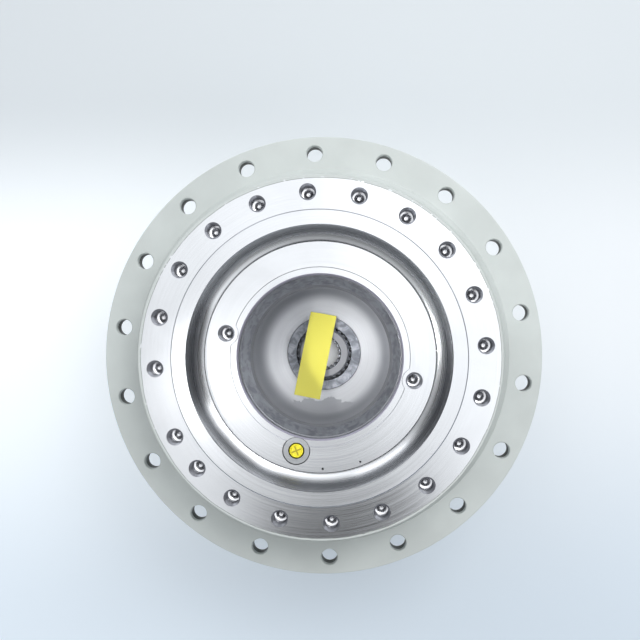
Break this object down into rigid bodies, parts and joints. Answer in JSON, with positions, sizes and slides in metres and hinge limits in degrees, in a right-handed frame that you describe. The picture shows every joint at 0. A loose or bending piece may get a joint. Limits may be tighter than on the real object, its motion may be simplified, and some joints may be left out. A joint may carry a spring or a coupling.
{
  "type": "excavator final drive",
  "caption": "Planetary travel reducer without its motor: a still spindle with frame ring and pilot rim, and a turning hub with sprocket flange and cover, geared from a splined input.",
  "frame": {"origin": "centre of the cover's standing face, on the drive axis", "axes": "+Z along the drive axis from the cover to the motor side; +Y towards the top of the picture"},
  "size_m": [0.6, 0.6, 0.438],
  "materials": {
    "machined_spindle": "fresh turned face, bright",
    "grey_paint": "light grey green paint, semi gloss",
    "dark_steel": "dark oiled steel",
    "grey_steel": "ground and splined",
    "gear_steel": "machined, oiled",
    "bearing_steel": "ground",
    "bronze": "turned bronze",
    "rubber": "matt black",
    "yellow_plug": "moulded yellow plastic",
    "zinc_steel": "zinc plated"
  },
  "bodies": {
    "spindle": {"spindle": "machined_spindle", "port_plug": "yellow_plug", "guide_plate": "dark_steel", "bearing_nut": "dark_steel", "second_carrier": "gear_steel", "upper_bearing_inner_race": "bearing_steel", "lower_bearing_inner_race": "bearing_steel", "still_seal_ring": "bearing_steel", "still_seal_toric": "rubber", "second_planet_1_pin": "bearing_steel", "second_planet_1_bush": "bronze", "second_planet_2_pin": "bearing_steel", "second_planet_2_bush": "bronze", "second_planet_3_pin": "bearing_steel", "second_planet_3_bush": "bronze"},
    "hub": {"hub": "grey_paint", "ring_gear": "grey_paint", "cover": "grey_paint", "fill_plug": "zinc_steel", "drain_plug": "zinc_steel", "thrust_button": "bearing_steel", "upper_bearing_outer_race": "bearing_steel", "lower_bearing_outer_race": "bearing_steel", "turning_seal_ring": "bearing_steel", "turning_seal_toric": "rubber", "cover_bolt_01": "zinc_steel", "cover_bolt_02": "zinc_steel", "cover_bolt_03": "zinc_steel", "cover_bolt_04": "zinc_steel", "cover_bolt_05": "zinc_steel", "cover_bolt_06": "zinc_steel", "cover_bolt_07": "zinc_steel", "cover_bolt_08": "zinc_steel", "cover_bolt_09": "zinc_steel", "cover_bolt_10": "zinc_steel", "cover_bolt_11": "zinc_steel", "cover_bolt_12": "zinc_steel"},
    "upper_rollers": {"upper_bearing_rollers": "bearing_steel"},
    "lower_rollers": {"lower_bearing_rollers": "bearing_steel"},
    "first_carrier": {"first_carrier": "gear_steel", "second_sun": "gear_steel", "first_planet_1_pin": "bearing_steel", "first_planet_1_bush": "bronze", "first_planet_2_pin": "bearing_steel", "first_planet_2_bush": "bronze", "first_planet_3_pin": "bearing_steel", "first_planet_3_bush": "bronze"},
    "input_shaft": {"first_sun_shaft": "grey_steel", "coupling_sleeve": "grey_steel"},
    "first_planet_1": {"first_planet_1": "gear_steel"},
    "first_planet_2": {"first_planet_2": "gear_steel"},
    "first_planet_3": {"first_planet_3": "gear_steel"},
    "second_planet_1": {"second_planet_1": "gear_steel"},
    "second_planet_2": {"second_planet_2": "gear_steel"},
    "second_planet_3": {"second_planet_3": "gear_steel"}
  },
  "joints": [
    {"name": "hub_spin", "type": "hinge", "parent": "spindle", "child": "hub", "pos_m": [0, 0, 0.33], "axis": [0, 0, 1], "continuous": true},
    {"name": "upper_roller_spin", "type": "hinge", "parent": "spindle", "child": "upper_rollers", "pos_m": [0, 0, 0.3375], "axis": [0, 0, 1], "continuous": true},
    {"name": "lower_roller_spin", "type": "hinge", "parent": "spindle", "child": "lower_rollers", "pos_m": [0, 0, 0.255], "axis": [0, 0, 1], "continuous": true},
    {"name": "first_carrier_spin", "type": "hinge", "parent": "spindle", "child": "first_carrier", "pos_m": [0, 0, 0.06], "axis": [0, 0, 1], "continuous": true},
    {"name": "input_spin", "type": "hinge", "parent": "spindle", "child": "input_shaft", "pos_m": [0, 0, 0.23], "axis": [0, 0, 1], "continuous": true},
    {"name": "first_planet_1_spin", "type": "hinge", "parent": "first_carrier", "child": "first_planet_1", "pos_m": [0, 0.1215, 0.055], "axis": [0, 0, 1], "continuous": true},
    {"name": "second_planet_1_spin", "type": "hinge", "parent": "spindle", "child": "second_planet_1", "pos_m": [0, 0.1215, 0.143], "axis": [0, 0, 1], "continuous": true},
    {"name": "first_planet_2_spin", "type": "hinge", "parent": "first_carrier", "child": "first_planet_2", "pos_m": [-0.10522, -0.06075, 0.055], "axis": [0, 0, 1], "continuous": true},
    {"name": "second_planet_2_spin", "type": "hinge", "parent": "spindle", "child": "second_planet_2", "pos_m": [-0.10522, -0.06075, 0.143], "axis": [0, 0, 1], "continuous": true},
    {"name": "first_planet_3_spin", "type": "hinge", "parent": "first_carrier", "child": "first_planet_3", "pos_m": [0.10522, -0.06075, 0.055], "axis": [0, 0, 1], "continuous": true},
    {"name": "second_planet_3_spin", "type": "hinge", "parent": "spindle", "child": "second_planet_3", "pos_m": [0.10522, -0.06075, 0.143], "axis": [0, 0, 1], "continuous": true}
  ],
  "couplings": [
    {"joint": "upper_roller_spin", "follows": "hub_spin", "ratio": 0.527},
    {"joint": "lower_roller_spin", "follows": "hub_spin", "ratio": 0.527},
    {"joint": "first_carrier_spin", "follows": "hub_spin", "ratio": -3.5},
    {"joint": "input_spin", "follows": "hub_spin", "ratio": -19.25},
    {"joint": "first_planet_1_spin", "follows": "hub_spin", "ratio": 12.6},
    {"joint": "second_planet_1_spin", "follows": "hub_spin", "ratio": 2.8},
    {"joint": "first_planet_2_spin", "follows": "hub_spin", "ratio": 12.6},
    {"joint": "second_planet_2_spin", "follows": "hub_spin", "ratio": 2.8},
    {"joint": "first_planet_3_spin", "follows": "hub_spin", "ratio": 12.6},
    {"joint": "second_planet_3_spin", "follows": "hub_spin", "ratio": 2.8}
  ]
}
